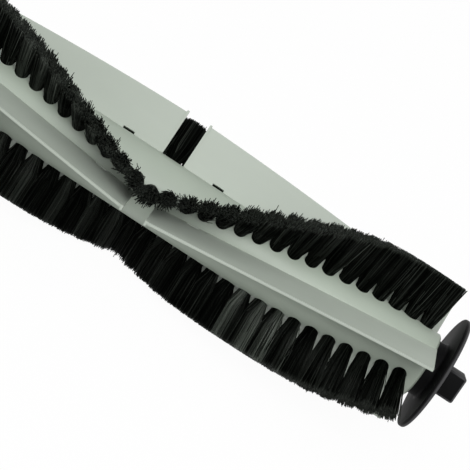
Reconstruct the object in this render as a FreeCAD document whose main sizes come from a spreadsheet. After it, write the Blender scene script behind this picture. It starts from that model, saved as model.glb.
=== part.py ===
import FreeCAD, Part

"""Roller brush of a robot vacuum: a moulded core with rows of bristle tufts and rubber blades.

Millimetres, +Z up. The origin is on the roller's axis at the middle of its length. +X runs along the
axis to the drive end. Angles about the axis are in degrees from +Y towards +Z. The brush lies as it
rests on a flat surface: on the two end tufts of one row and on the middle tuft of the next.
"""

import math
import os

import Sketcher

Vector = FreeCAD.Vector
AXIS = Vector(1, 0, 0)
ORIGIN = Vector(0, 0, 0)
UPRIGHT = 90
HALF_TURN = 180
FULL_TURN = 360
TUFT_SIDES = 6
EXPORT_FOLDER = "parts"

# Driving dimensions: name, value, meaning
DIMENSIONS = [
    ("core_radius", 8.5, "core, outside"),
    ("core_length", 153, "core, end to end"),
    ("core_chamfer", 0.4, "core, edge break at both ends"),
    ("spigot_size", 4.6, "end cap spigot, across flats"),
    ("spigot_length", 11, "end cap spigot, inside the core"),
    ("spigot_fit", 0.05, "gap round the spigot in its socket"),
    ("socket_relief", 0.5, "room behind the spigot's tip"),
    ("row_count", 3, "bristle rows, and as many blades, round the core"),
    ("row_twist", 98.1, "turn of a row from the middle to the core's end"),
    ("tuft_pitch", 4.5, "tuft to tuft along the axis"),
    ("tuft_end_land", 2.5, "least distance from the last tuft to the core's end"),
    ("tuft_tip_radius", 21, "bristle tips, from the axis"),
    ("tuft_root_width", 3.4, "tuft across the row where it leaves the core"),
    ("tuft_tip_width", 4, "tuft across the row at its tip"),
    ("tuft_hole_depth", 4, "tuft hole below the core's surface"),
    ("tuft_hole_fit", 0.05, "gap round the tuft at the mouth of its hole"),
    ("anchor_width", 2.4, "anchor plate along the axis"),
    ("anchor_thickness", 0.4, "anchor plate"),
    ("anchor_height", 1.5, "anchor plate above the bottom of the hole"),
    ("blade_height", 11.8, "blade above the core's surface"),
    ("blade_root_thickness", 1.1, "blade at the core's surface and in its groove"),
    ("blade_tip_thickness", 0.7, "blade at its tip"),
    ("blade_foot_depth", 2, "blade below the core's surface"),
    ("blade_hook", 0.8, "foot's hook, sideways and upwards"),
    ("blade_fit", 0.04, "gap round the foot in its groove"),
    ("blade_gap", 5.9, "gap between the two halves of a blade"),
    ("blade_lag", 20.5, "angle from a row to its blade, at the middle"),
    ("blade_twist", 55, "turn of a blade's root from the middle to the core's end"),
    ("blade_lean", 6.5, "blade's direction from its root's own radius, at the middle"),
    ("lip_length", 0.6, "lip at a blade's inner end, along the axis"),
    ("lip_thickness", 1.3, "lip, across the blade"),
    ("lip_rise", 0.4, "lip above the blade's tip"),
    ("slot_centre", 12.7, "slot at a blade's root, from the middle"),
    ("slot_length", 3.1, "slot, along the axis"),
    ("slot_height", 0.7, "slot, up the blade"),
    ("slot_land", 0.1, "slot above the core's surface"),
    ("disc_radius", 15, "end cap's hair guard"),
    ("disc_thickness", 1.3, "hair guard"),
    ("hub_radius", 7.2, "end cap's hub"),
    ("hub_length", 2.8, "core's end to the hair guard"),
    ("stub_size", 7, "drive stub, across flats"),
    ("stub_length", 6.4, "drive stub, out from the hair guard"),
    ("stub_turn", 50.2, "drive stub's flat, angle about the axis"),
    ("stub_edge", 0.5, "drive stub, edge break along its corners"),
    ("stub_lead_in", 0.7, "drive stub, length of the taper at its end"),
    ("pin_radius", 1.5, "axle pin"),
    ("pin_press_fit", 0.01, "gap round the pin in the end cap"),
    ("pin_head_radius", 2.5, "axle pin's head"),
    ("pin_head_height", 0.8, "axle pin's head"),
    ("running_fit", 0.03, "gap round the pin in its bush"),
    ("end_float", 0.1, "play of the bearing cap along the axis, each side"),
    ("washer_radius", 3.6, "thrust washer, outside"),
    ("washer_thickness", 0.5, "thrust washer"),
    ("washer_fit", 0.05, "gap round the pin in the washer"),
    ("bush_radius", 3, "sleeve bush, outside"),
    ("bush_press_fit", 0.01, "gap round the bush in the bearing cap"),
    ("bush_length", 4.5, "sleeve bush"),
    ("bearing_radius", 5, "bearing cap, outside"),
    ("bearing_length", 5.8, "bearing cap"),
    ("bearing_chamfer", 0.6, "bearing cap, edge break at its outer end"),
    ("head_room", 0.3, "gap round the pin's head in the bearing cap"),
]

doc = FreeCAD.newDocument("roller_brush")
dims = doc.addObject("Spreadsheet::Sheet", "dims")
for row, (alias, value, meaning) in enumerate(DIMENSIONS, start=1):
    dims.set(f"A{row}", meaning)
    dims.set(f"B{row}", str(value))
    dims.setAlias(f"B{row}", alias)
doc.recompute()

sub_parts = []


def value_of(expression):
    """Number that an expression on the sheet gives."""
    return float(dims.evalExpression(expression))


def keep(piece, label):
    """Label a finished sub-part and put it on the list to write."""
    piece.Label = label
    sub_parts.append(piece)
    return piece


def radial(angle):
    """Unit vector square to the axis at an angle about it."""
    return Vector(0, math.cos(math.radians(angle)), math.sin(math.radians(angle)))


def about_axis(angle):
    """Rotation about the roller's axis."""
    return FreeCAD.Rotation(AXIS, angle)


def upright_to(angle):
    """Rotation that lays +Z along the radius at an angle and leaves +X on the axis."""
    return about_axis(angle - UPRIGHT)


# Sketches and bodies

def new_body(name):
    """Empty body."""
    return doc.addObject("PartDesign::Body", name)


def sketch_on(body, name, plane_role, offset="0"):
    """Empty sketch on a plane of its body, moved along the plane's normal by offset."""
    sketch = body.newObject("Sketcher::SketchObject", name)
    plane = [feature for feature in body.Origin.OriginFeatures if feature.Role == plane_role][0]
    sketch.AttachmentSupport = [(plane, "")]
    sketch.MapMode = "FlatFace"
    sketch.setExpression("AttachmentOffset.Base.z", offset)
    return sketch


def outline(sketch, corners):
    """Draw a closed outline of straight edges, each corner a pair of expressions on the sheet."""
    points = [Vector(value_of(across), value_of(up), 0) for across, up in corners]
    count = len(points)
    for index in range(count):
        sketch.addGeometry(Part.LineSegment(points[index], points[(index + 1) % count]))
    for index in range(count):
        sketch.addConstraint(Sketcher.Constraint("Coincident", index, 2, (index + 1) % count, 1))
    for index, (across, up) in enumerate(corners):
        bound = (("DistanceX", "across", across, points[index].x), ("DistanceY", "up", up, points[index].y))
        for kind, word, expression, start in bound:
            number = sketch.addConstraint(Sketcher.Constraint(kind, -1, 1, index, 1, start))
            sketch.renameConstraint(number, f"{word}{index}")
            sketch.setExpression(f"Constraints.{word}{index}", expression)
    return sketch


def square(size):
    """Corners of a square round the origin, its size an expression."""
    half = f"({size}) / 2"
    return [(f"-{half}", f"-{half}"), (half, f"-{half}"), (half, half), (f"-{half}", half)]


def cut_square(size, cut):
    """Corners of a square round the origin with its four corners cut off, both sizes expressions."""
    half = f"(({size}) / 2)"
    inner = f"({half} - ({cut}))"
    quarter = [(half, inner), (inner, half)]
    corners = []
    for across_sign, up_sign in (("", ""), ("-", ""), ("-", "-"), ("", "-")):
        side = [(across_sign + across, up_sign + up) for across, up in quarter]
        corners += side if across_sign == up_sign else side[::-1]
    return corners


def turned(body, name, corners):
    """Turn an outline of (along the axis, radius) pairs round the X axis."""
    sketch = outline(sketch_on(body, f"{name}_profile", "XY_Plane"), corners)
    feature = body.newObject("PartDesign::Revolution", name)
    feature.Profile = sketch
    feature.ReferenceAxis = (sketch, ["H_Axis"])
    feature.Angle = FULL_TURN
    doc.recompute()
    return feature


def padded(body, name, sketch, length, reverse=False):
    """Pad a sketch by a length given as an expression."""
    feature = body.newObject("PartDesign::Pad", name)
    feature.Profile = sketch
    feature.setExpression("Length", length)
    feature.Reversed = reverse
    doc.recompute()
    return feature


def pocketed(body, name, sketch, depth, reverse=False):
    """Cut a sketch into the body by a depth given as an expression, and see that it cuts."""
    before = body.Shape.Volume
    feature = body.newObject("PartDesign::Pocket", name)
    feature.Profile = sketch
    feature.setExpression("Length", depth)
    feature.Reversed = reverse
    doc.recompute()
    if body.Shape.Volume >= before:
        raise RuntimeError(f"{name} cuts nothing")
    return feature


# Bristle tufts, their anchors and their holes

HALF_CORE = "dims.core_length / 2"
CORNER_FACTOR = 1 / math.cos(math.pi / TUFT_SIDES) / 2
HOLE_BOTTOM = "dims.core_radius - dims.tuft_hole_depth"
TUFT_BOTTOM = f"{HOLE_BOTTOM} + dims.anchor_height"
FLARE = "(dims.tuft_tip_width - dims.tuft_root_width) / (dims.tuft_tip_radius - dims.core_radius)"
HOLE_CLEARANCE_ABOVE = 1

half_core = value_of(HALF_CORE)
tuft_pitch = value_of("dims.tuft_pitch")
row_count = int(value_of("dims.row_count"))
row_step = FULL_TURN / row_count
tufts_each_way = int((half_core - value_of("dims.tuft_end_land")) / tuft_pitch)
tuft_turn = value_of("dims.row_twist") * tuft_pitch / half_core
row_start = UPRIGHT + tuft_turn * tufts_each_way / 2


def tuft_ring(width, height):
    """Corners of a tuft's section, of a width across flats, at a height, the first corner along +X."""
    corner = Vector(width * CORNER_FACTOR, 0, height)
    turns = [FULL_TURN * side / TUFT_SIDES for side in range(TUFT_SIDES)]
    return [FreeCAD.Rotation(Vector(0, 0, 1), turn).multVec(corner) for turn in turns]


def flat_face(corners):
    """Flat face with straight edges."""
    return Part.Face(Part.makePolygon(corners + corners[:1]))


def tuft_form():
    """One tuft along +Z: a slim flat-sided cone of bristles from its anchor to its cut tip."""
    sunk = value_of(f"dims.core_radius - ({TUFT_BOTTOM})")
    bottom = tuft_ring(value_of("dims.tuft_root_width") - value_of(FLARE) * sunk, value_of(TUFT_BOTTOM))
    tip = tuft_ring(value_of("dims.tuft_tip_width"), value_of("dims.tuft_tip_radius"))
    faces = [flat_face(bottom[::-1]), flat_face(tip)]
    for side in range(TUFT_SIDES):
        after = (side + 1) % TUFT_SIDES
        faces.append(flat_face([bottom[side], bottom[after], tip[after], tip[side]]))
    tuft = doc.addObject("Part::Feature", "tuft_form")
    tuft.Shape = Part.Solid(Part.Shell(faces))
    return tuft


def tuft_hole_form():
    """One tuft hole along +Z, open above the core's surface."""
    hole = doc.addObject("Part::Prism", "tuft_hole_form")
    hole.Polygon = TUFT_SIDES
    hole.setExpression("Circumradius", f"(dims.tuft_root_width + 2 * dims.tuft_hole_fit) * {CORNER_FACTOR}")
    hole.setExpression("Height", f"dims.tuft_hole_depth + {HOLE_CLEARANCE_ABOVE}")
    hole.setExpression("Placement.Base.z", HOLE_BOTTOM)
    return hole


def anchor_form():
    """One anchor plate along +Z, standing on the bottom of its hole."""
    plate = doc.addObject("Part::Box", "anchor_form")
    plate.setExpression("Length", "dims.anchor_width")
    plate.setExpression("Width", "dims.anchor_thickness")
    plate.setExpression("Height", "dims.anchor_height")
    plate.setExpression("Placement.Base.x", "-dims.anchor_width / 2")
    plate.setExpression("Placement.Base.y", "-dims.anchor_thickness / 2")
    plate.setExpression("Placement.Base.z", HOLE_BOTTOM)
    return plate


def along_row(form, numbers):
    """Copies of a form that stands on the axis, at the numbered places of the first row."""
    copies = []
    for number in numbers:
        turn = upright_to(row_start - tuft_turn * abs(number))
        place = FreeCAD.Placement(AXIS * (number * tuft_pitch), turn)
        copies.append(form.Shape.transformed(place.toMatrix(), True))
    return copies


def group(name, solids, row):
    """Sub-part of several separate solids, turned from the first row to another."""
    piece = doc.addObject("Part::Feature", name)
    piece.Shape = Part.makeCompound(solids)
    piece.Placement = FreeCAD.Placement(ORIGIN, about_axis(row * row_step))
    return keep(piece, name)


ROW_HALVES = {"drive": range(0, tufts_each_way + 1), "idle": range(-tufts_each_way, 0)}

tuft = tuft_form()
tuft_hole = tuft_hole_form()
anchor = anchor_form()
doc.recompute()
for row in range(row_count):
    for half, numbers in ROW_HALVES.items():
        group(f"tuft_row_{row + 1}_{half}", along_row(tuft, numbers), row)
        group(f"tuft_anchors_{row + 1}_{half}", along_row(anchor, numbers), row)

# Rubber blades and their grooves

BLADE_STATIONS = 5
GROOVE_CLEARANCE_ABOVE = 3
GROOVE_OVERRUN = 1
SLOT_REACH = "1.5 * dims.blade_root_thickness"
BLADE_START = f"{row_start} + dims.blade_lag"
BLADE_DIRECTION = f"{BLADE_START} - dims.blade_lean"
ROOT_HALF = "dims.blade_root_thickness / 2"
TIP_HALF = "dims.blade_tip_thickness / 2"
FOOT = "-dims.blade_foot_depth"


def blade_root(along):
    """Expressions for the point of a blade's root on the core, at a distance from the middle."""
    angle = f"({BLADE_START} - dims.blade_twist * ({along}) / ({HALF_CORE})) * 1 deg"
    return along, f"dims.core_radius * cos({angle})", f"dims.core_radius * sin({angle})"


def seat_on_root(piece, along, across="0", up="0", back="0"):
    """Place a piece by its root point, with its own Y across the blade and its own Z up the blade.

    across and up move it from that point, and back moves it along the axis towards the middle.
    """
    direction = value_of(BLADE_DIRECTION)
    piece.Placement.Rotation = upright_to(direction)
    sideways, outwards = radial(direction - UPRIGHT), radial(direction)
    x, y, z = blade_root(along)
    piece.setExpression("Placement.Base.x", f"{x} - ({back})")
    piece.setExpression("Placement.Base.y", f"{y} + ({across}) * {sideways.y} + ({up}) * {outwards.y}")
    piece.setExpression("Placement.Base.z", f"{z} + ({across}) * {sideways.z} + ({up}) * {outwards.z}")


def swept_section(name, corners, start, end):
    """Solid of one section carried along a blade's root without turning, from start to end."""
    sections = []
    for station in range(BLADE_STATIONS):
        along = f"({start}) + (({end}) - ({start})) * {station / (BLADE_STATIONS - 1)}"
        section = outline(doc.addObject("Sketcher::SketchObject", f"{name}_{station}"), corners)
        seat_on_root(section, along)
        turn_up = FreeCAD.Rotation(Vector(0, 1, 0), Vector(0, 0, 1), Vector(1, 0, 0), "XYZ")
        section.Placement.Rotation = section.Placement.Rotation.multiply(turn_up)
        sections.append(section)
    loft = doc.addObject("Part::Loft", name)
    loft.Sections = sections
    loft.Solid = True
    loft.Ruled = False
    return loft


def blade_form():
    """Drive half of the first blade: a tapering strip with a hooked foot, an end lip and a root slot."""
    hook_side = f"-{ROOT_HALF} - dims.blade_hook"
    hook_top = f"{FOOT} + dims.blade_hook"
    corners = [
        (ROOT_HALF, FOOT),
        (ROOT_HALF, "0"),
        (TIP_HALF, "dims.blade_height"),
        (f"-{TIP_HALF}", "dims.blade_height"),
        (f"-{ROOT_HALF}", "0"),
        (f"-{ROOT_HALF}", hook_top),
        (hook_side, hook_top),
        (hook_side, FOOT),
    ]
    strip = swept_section("blade_strip", corners, "dims.blade_gap / 2", HALF_CORE)

    lip = doc.addObject("Part::Box", "blade_lip")
    lip.setExpression("Length", "dims.lip_length")
    lip.setExpression("Width", "dims.lip_thickness")
    lip.setExpression("Height", "dims.blade_height + dims.lip_rise - dims.slot_land")
    seat_on_root(lip, "dims.blade_gap / 2", "-dims.lip_thickness / 2", "dims.slot_land")

    slot = doc.addObject("Part::Box", "blade_slot")
    slot.setExpression("Length", "dims.slot_length")
    slot.setExpression("Width", f"2 * {SLOT_REACH}")
    slot.setExpression("Height", "dims.slot_height")
    seat_on_root(slot, "dims.slot_centre", f"-{SLOT_REACH}", "dims.slot_land", "dims.slot_length / 2")

    whole = doc.addObject("Part::Fuse", "blade_with_lip")
    whole.Base, whole.Tool = strip, lip
    blade = doc.addObject("Part::Cut", "blade_form")
    blade.Base, blade.Tool = whole, slot
    return blade


def groove_form():
    """Drive half of the first blade's groove, open at the core's end so that the strip slides in."""
    left = f"-{ROOT_HALF} - dims.blade_fit"
    right = f"{ROOT_HALF} + dims.blade_fit"
    hook_side = f"{left} - dims.blade_hook"
    bottom = f"{FOOT} - dims.blade_fit"
    hook_top = f"{FOOT} + dims.blade_hook + dims.blade_fit"
    corners = [
        (right, bottom),
        (right, f"{GROOVE_CLEARANCE_ABOVE}"),
        (left, f"{GROOVE_CLEARANCE_ABOVE}"),
        (left, hook_top),
        (hook_side, hook_top),
        (hook_side, bottom),
    ]
    return swept_section("groove_form", corners, "dims.blade_gap / 2 - dims.blade_fit",
                         f"{HALF_CORE} + {GROOVE_OVERRUN}")


def mirrored(form, name):
    """Idle half of a form that lies on the drive side of the middle."""
    mirror = doc.addObject("Part::Mirroring", name)
    mirror.Source = form
    mirror.Normal = AXIS
    return mirror


def turned_copy(form, name, row):
    """Copy of a form, turned from the first row to another."""
    copy = doc.addObject("Part::Compound", name)
    copy.Links = [form]
    copy.Placement = FreeCAD.Placement(ORIGIN, about_axis(row * row_step))
    return copy


blade = blade_form()
groove = groove_form()
blade_halves = {"drive": blade, "idle": mirrored(blade, "blade_form_idle")}
groove_halves = {"drive": groove, "idle": mirrored(groove, "groove_form_idle")}
core_cuts = []
for row in range(row_count):
    for half in blade_halves:
        name = f"blade_{row + 1}_{half}"
        keep(turned_copy(blade_halves[half], name, row), name)
        core_cuts.append(turned_copy(groove_halves[half], f"groove_{row + 1}_{half}", row))
doc.recompute()

# Core

SOCKET_SIZE = "dims.spigot_size + 2 * dims.spigot_fit"
SOCKET_DEPTH = "dims.spigot_length + dims.socket_relief"


def core_blank():
    """Plain core with broken edges and a square socket in each end."""
    body = new_body("core_blank")
    profile = [
        (f"-{HALF_CORE}", "0"),
        (f"-{HALF_CORE}", "dims.core_radius - dims.core_chamfer"),
        (f"-{HALF_CORE} + dims.core_chamfer", "dims.core_radius"),
        (f"{HALF_CORE} - dims.core_chamfer", "dims.core_radius"),
        (HALF_CORE, "dims.core_radius - dims.core_chamfer"),
        (HALF_CORE, "0"),
    ]
    turned(body, "core_round", profile)
    for name, face, reverse in (("drive", HALF_CORE, False), ("idle", f"-{HALF_CORE}", True)):
        mouth = outline(sketch_on(body, f"{name}_socket_square", "YZ_Plane", face), square(SOCKET_SIZE))
        pocketed(body, f"{name}_socket", mouth, SOCKET_DEPTH, reverse)
    return body


tuft_holes = doc.addObject("Part::Feature", "tuft_holes")
first_row = along_row(tuft_hole, range(-tufts_each_way, tufts_each_way + 1))
tuft_holes.Shape = Part.makeCompound(
    [hole.rotated(ORIGIN, AXIS, row * row_step) for row in range(row_count) for hole in first_row]
)
all_cuts = doc.addObject("Part::Compound", "core_cuts")
all_cuts.Links = [tuft_holes] + core_cuts
core = doc.addObject("Part::Cut", "core")
core.Base, core.Tool = core_blank(), all_cuts
keep(core, "core")

# End caps

OUTER_FACE = "dims.hub_length + dims.disc_thickness"
LEAD_IN_ANGLE = -45


def guard_profile():
    """Hub and flat hair guard, from the core's end outwards."""
    return [
        ("0", "0"),
        ("0", "dims.hub_radius"),
        ("dims.hub_length", "dims.hub_radius"),
        ("dims.hub_length", "dims.disc_radius"),
        (OUTER_FACE, "dims.disc_radius"),
        (OUTER_FACE, "0"),
    ]


def end_cap(name):
    """Hub, hair guard and the square spigot that goes into the core."""
    body = new_body(name)
    turned(body, f"{name}_guard", guard_profile())
    spigot = outline(sketch_on(body, f"{name}_spigot_square", "YZ_Plane"), square("dims.spigot_size"))
    padded(body, f"{name}_spigot", spigot, "dims.spigot_length", reverse=True)
    return body


def stub_section(body, name, start):
    """Section of the drive stub at a distance out of the core's end, its corners cut."""
    corners = cut_square("dims.stub_size", "dims.stub_edge")
    section = outline(sketch_on(body, name, "YZ_Plane", start), corners)
    section.setExpression("AttachmentOffset.Rotation.Angle", "dims.stub_turn * 1 deg")
    return section


def drive_end_cap():
    """End cap with the square stub that the motor turns, its end tapered to lead it in."""
    body = end_cap("drive_end_cap")
    straight = "(dims.stub_length - dims.stub_lead_in)"
    padded(body, "stub", stub_section(body, "stub_section", OUTER_FACE), straight)
    lead_in_section = stub_section(body, "lead_in_section", f"{OUTER_FACE} + {straight}")
    lead_in = padded(body, "lead_in", lead_in_section, "dims.stub_lead_in")
    lead_in.TaperAngle = LEAD_IN_ANGLE
    doc.recompute()
    body.setExpression("Placement.Base.x", HALF_CORE)
    return keep(body, "drive_end_cap")


def idle_end_cap():
    """End cap with the bore that holds the axle pin."""
    body = end_cap("idle_end_cap")
    bore = sketch_on(body, "pin_bore_circle", "YZ_Plane", OUTER_FACE)
    bore.addGeometry(Part.Circle(ORIGIN, Vector(0, 0, 1), value_of("dims.pin_radius")))
    bore.addConstraint(Sketcher.Constraint("Coincident", 0, 3, -1, 1))
    number = bore.addConstraint(Sketcher.Constraint("Radius", 0, value_of("dims.pin_radius")))
    bore.renameConstraint(number, "bore_radius")
    bore.setExpression("Constraints.bore_radius", "dims.pin_radius + dims.pin_press_fit")
    pocketed(body, "pin_bore", bore, f"{OUTER_FACE} + dims.spigot_length")
    face_idle_end(body)
    return keep(body, "idle_end_cap")


def face_idle_end(body):
    """Turn a body round, so that its own +X points out of the idle end from the core's end face."""
    body.Placement.Rotation = FreeCAD.Rotation(Vector(0, 0, 1), HALF_TURN)
    body.setExpression("Placement.Base.x", f"-{HALF_CORE}")


# Idle-end bearing, each piece turned from its distances out of the core's end face

CAP_START = f"{OUTER_FACE} + dims.washer_thickness + dims.end_float"
CAP_END = f"{CAP_START} + dims.bearing_length"
BUSH_END = f"{CAP_START} + dims.bush_length"
HEAD_START = f"{BUSH_END} + dims.end_float"
RUNNING_RADIUS = "dims.pin_radius + dims.running_fit"


def bearing_piece(name, corners):
    """Turned piece of the idle-end bearing."""
    body = new_body(name)
    turned(body, f"{name}_turned", corners)
    face_idle_end(body)
    return keep(body, name)


def ring(start, end, inside, outside):
    """Corners of a plain ring."""
    return [(start, inside), (start, outside), (end, outside), (end, inside)]


def axle_pin():
    """Headed steel pin, pressed through the end cap."""
    head_end = f"{HEAD_START} + dims.pin_head_height"
    return bearing_piece("axle_pin", [
        ("-dims.spigot_length", "0"),
        ("-dims.spigot_length", "dims.pin_radius"),
        (HEAD_START, "dims.pin_radius"),
        (HEAD_START, "dims.pin_head_radius"),
        (head_end, "dims.pin_head_radius"),
        (head_end, "0"),
    ])


def bearing_cap():
    """Round cap that sits still in the vacuum while the roller turns: bush bore and head recess."""
    bush_bore = "dims.bush_radius + dims.bush_press_fit"
    recess = "dims.pin_head_radius + dims.head_room"
    edge = "dims.bearing_chamfer"
    return bearing_piece("bearing_cap", [
        (CAP_START, bush_bore),
        (CAP_START, "dims.bearing_radius"),
        (f"{CAP_END} - {edge}", "dims.bearing_radius"),
        (CAP_END, f"dims.bearing_radius - {edge}"),
        (CAP_END, recess),
        (BUSH_END, recess),
        (BUSH_END, bush_bore),
    ])


drive_end_cap()
idle_end_cap()
axle_pin()
bearing_piece("thrust_washer", ring(OUTER_FACE, f"{OUTER_FACE} + dims.washer_thickness",
                                    "dims.pin_radius + dims.washer_fit", "dims.washer_radius"))
bearing_piece("sleeve_bush", ring(CAP_START, BUSH_END, RUNNING_RADIUS, "dims.bush_radius"))
bearing_cap()

# Tests, then one file for each sub-part

doc.recompute()
for item in doc.Objects:
    if "Invalid" in item.State or "Error" in item.State:
        raise RuntimeError(f"{item.Name} failed: {item.State}")
for piece in sub_parts:
    if piece.Shape.isNull() or not piece.Shape.isValid() or not piece.Shape.Solids:
        raise RuntimeError(f"{piece.Label} is not a valid solid")

os.makedirs(EXPORT_FOLDER, exist_ok=True)
for piece in sub_parts:
    piece.Shape.exportStep(f"{EXPORT_FOLDER}/{piece.Label}.step")
    print(piece.Label, len(piece.Shape.Solids), round(piece.Shape.Volume, 2))
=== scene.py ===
"""Looks of a robot vacuum's roller brush, modelled over its solids.

Lengths are metres in the frame of the solids. The origin is on the roller's axis at the middle of its
length, +X runs along the axis to the drive end and +Z is up. Angles about the axis are in degrees from
+Y towards +Z.
"""

import logging
import math
from dataclasses import dataclass, field
from enum import Enum
from typing import Iterable, Sequence

import bpy
import numpy as np
from mathutils import Matrix, Vector


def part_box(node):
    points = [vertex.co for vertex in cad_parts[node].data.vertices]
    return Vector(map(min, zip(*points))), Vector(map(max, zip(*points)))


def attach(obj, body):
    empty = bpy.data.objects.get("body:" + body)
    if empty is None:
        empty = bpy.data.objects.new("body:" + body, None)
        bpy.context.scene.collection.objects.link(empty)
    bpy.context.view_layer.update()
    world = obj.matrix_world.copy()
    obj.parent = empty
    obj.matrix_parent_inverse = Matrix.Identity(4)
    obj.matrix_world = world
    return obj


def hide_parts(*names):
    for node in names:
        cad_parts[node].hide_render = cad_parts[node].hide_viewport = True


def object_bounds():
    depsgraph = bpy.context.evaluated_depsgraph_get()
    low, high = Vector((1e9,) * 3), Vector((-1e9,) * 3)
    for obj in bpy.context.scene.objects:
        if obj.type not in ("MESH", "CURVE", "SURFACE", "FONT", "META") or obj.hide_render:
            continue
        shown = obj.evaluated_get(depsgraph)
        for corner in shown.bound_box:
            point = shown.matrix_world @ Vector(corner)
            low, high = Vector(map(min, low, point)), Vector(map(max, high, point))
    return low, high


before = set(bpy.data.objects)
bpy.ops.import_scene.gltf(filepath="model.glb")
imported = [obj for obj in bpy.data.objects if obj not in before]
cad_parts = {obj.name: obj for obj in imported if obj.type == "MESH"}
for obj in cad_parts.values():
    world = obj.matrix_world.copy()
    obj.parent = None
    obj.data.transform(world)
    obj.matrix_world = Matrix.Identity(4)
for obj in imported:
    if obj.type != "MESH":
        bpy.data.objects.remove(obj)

LOG = logging.getLogger("roller_brush")
CAD_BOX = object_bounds()
MM = 0.001
AXIS = Vector((1, 0, 0))
FULL_TURN = 2 * math.pi
FULL_CIRCLE = 360
UPRIGHT = 90
GOLDEN_ANGLE = math.pi * (3 - math.sqrt(5))
MERGE_DISTANCE = 0.001 * MM
SHARP_ANGLE = 35
BLADE_LAG = 20.5
ANCHOR_NODES = "tuft_anchors"
# Vertex mask of the rounded edges that get a painted highlight colour
HIGHLIGHT_EDGE_ATTRIBUTE = "edge"
# Per-vertex strand tone: a random tone plus painted sheen
STRAND_ATTRIBUTE = "strand"
HEIGHT_ATTRIBUTE = "height"
MOTTLE_DETAIL = 3.0
MOTTLE_RANGE = (0.3, 0.7)
GRAIN_DETAIL = 2.0
# Numbers of the colour sockets of a Mix node, whose names repeat
MIX_FIRST, MIX_SECOND, MIX_RESULT = 6, 7, 2
WHITE = (1.0, 1.0, 1.0)
Colour = tuple[float, float, float]
Point = tuple[float, float]
StrandForm = tuple[np.ndarray, np.ndarray, list[list[int]]]


class Body(Enum):
    """Bodies of the frame that pieces ride on."""

    ROLLER = "roller"
    BEARING = "bearing"


class Slot(Enum):
    """Material slots of the record."""

    CORE = "core_plastic"
    BLADE = "blade_rubber"
    BRISTLE = "bristle_nylon"
    CAP = "cap_plastic"
    PIN = "pin_steel"
    ANCHOR = "anchor_steel"
    BUSH = "bush_bronze"
    WASHER = "washer_nylon"


class Half(Enum):
    """Halves of a row or blade, either side of the roller's middle."""

    DRIVE = "drive"
    IDLE = "idle"


# Modelling tools


def deselect() -> None:
    """Leave edit mode and deselect every object."""
    if bpy.context.object is not None and bpy.context.object.mode != "OBJECT":
        bpy.ops.object.mode_set(mode="OBJECT")
    bpy.ops.object.select_all(action="DESELECT")


def activate(piece: bpy.types.Object) -> None:
    """Select one object alone and make it the active one."""
    deselect()
    piece.select_set(True)
    bpy.context.view_layer.objects.active = piece


def edit_all(piece: bpy.types.Object) -> None:
    """Enter edit mode on one object with its whole mesh selected."""
    activate(piece)
    bpy.ops.object.mode_set(mode="EDIT")
    bpy.ops.mesh.select_all(action="SELECT")


def draw_line(name: str, points: Sequence[Sequence[float]]) -> bpy.types.Object:
    """Draw a line of straight edges, one vertex extruded from the last.

    Args:
        name: Name of the new object.
        points: Corners in order.

    Returns:
        The object, in edit mode with its last vertex selected.
    """
    deselect()
    bpy.ops.mesh.primitive_plane_add(size=MM)
    piece = bpy.context.object
    piece.name = name
    bpy.ops.object.mode_set(mode="EDIT")
    bpy.ops.mesh.select_all(action="SELECT")
    bpy.ops.mesh.merge(type="CENTER")
    bpy.ops.transform.translate(value=points[0])
    for start, end in zip(points, points[1:]):
        step = Vector(end) - Vector(start)
        bpy.ops.mesh.extrude_region_move(TRANSFORM_OT_translate={"value": step})
    return piece


def close_mesh(piece: bpy.types.Object) -> None:
    """Merge doubled vertices and turn every face outwards."""
    edit_all(piece)
    bpy.ops.mesh.remove_doubles(threshold=MERGE_DISTANCE)
    bpy.ops.mesh.normals_make_consistent(inside=False)
    bpy.ops.object.mode_set(mode="OBJECT")


def modify(piece: bpy.types.Object, kind: str, **settings: object) -> None:
    """Add a modifier with its settings and apply it."""
    activate(piece)
    modifier = piece.modifiers.new(kind.lower(), kind)
    for name, value in settings.items():
        setattr(modifier, name, value)
    bpy.ops.object.modifier_apply(modifier=modifier.name)


def soften(piece: bpy.types.Object, width: float, segments: int = 2) -> None:
    """Round the sharp edges."""
    modify(piece, "BEVEL", width=width, segments=segments, limit_method="ANGLE",
           angle_limit=math.radians(SHARP_ANGLE), use_clamp_overlap=True)


def smooth(piece: bpy.types.Object, limit: float = SHARP_ANGLE) -> None:
    """Shade smooth, apart from edges that turn by more than a limit in degrees."""
    activate(piece)
    bpy.ops.object.shade_smooth_by_angle(angle=math.radians(limit))


def cut_away(piece: bpy.types.Object, cutter: bpy.types.Object) -> None:
    """Cut one closed mesh out of another and delete the cutter."""
    modify(piece, "BOOLEAN", object=cutter, operation="DIFFERENCE", solver="EXACT")
    bpy.data.objects.remove(cutter)


def join_on(piece: bpy.types.Object, other: bpy.types.Object) -> None:
    """Unite a closed mesh with another and delete the other."""
    modify(piece, "BOOLEAN", object=other, operation="UNION", solver="EXACT")
    bpy.data.objects.remove(other)


def placed_copy(piece: bpy.types.Object, name: str, place: Matrix) -> bpy.types.Object:
    """Copy a piece with a mesh of its own, moved within that mesh.

    Args:
        piece: Piece to copy.
        name: Name of the copy.
        place: Where the copy goes, from where the piece is. It may mirror.

    Returns:
        The copy, at the origin.
    """
    copy = bpy.data.objects.new(name, piece.data.copy())
    bpy.context.scene.collection.objects.link(copy)
    copy.data.transform(place)
    if place.determinant() < 0:
        copy.data.flip_normals()
    return copy


def joined(pieces: Sequence[bpy.types.Object]) -> bpy.types.Object:
    """Join several objects into the first of them."""
    activate(pieces[0])
    for piece in pieces:
        piece.select_set(True)
    bpy.ops.object.join()
    return pieces[0]


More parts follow.
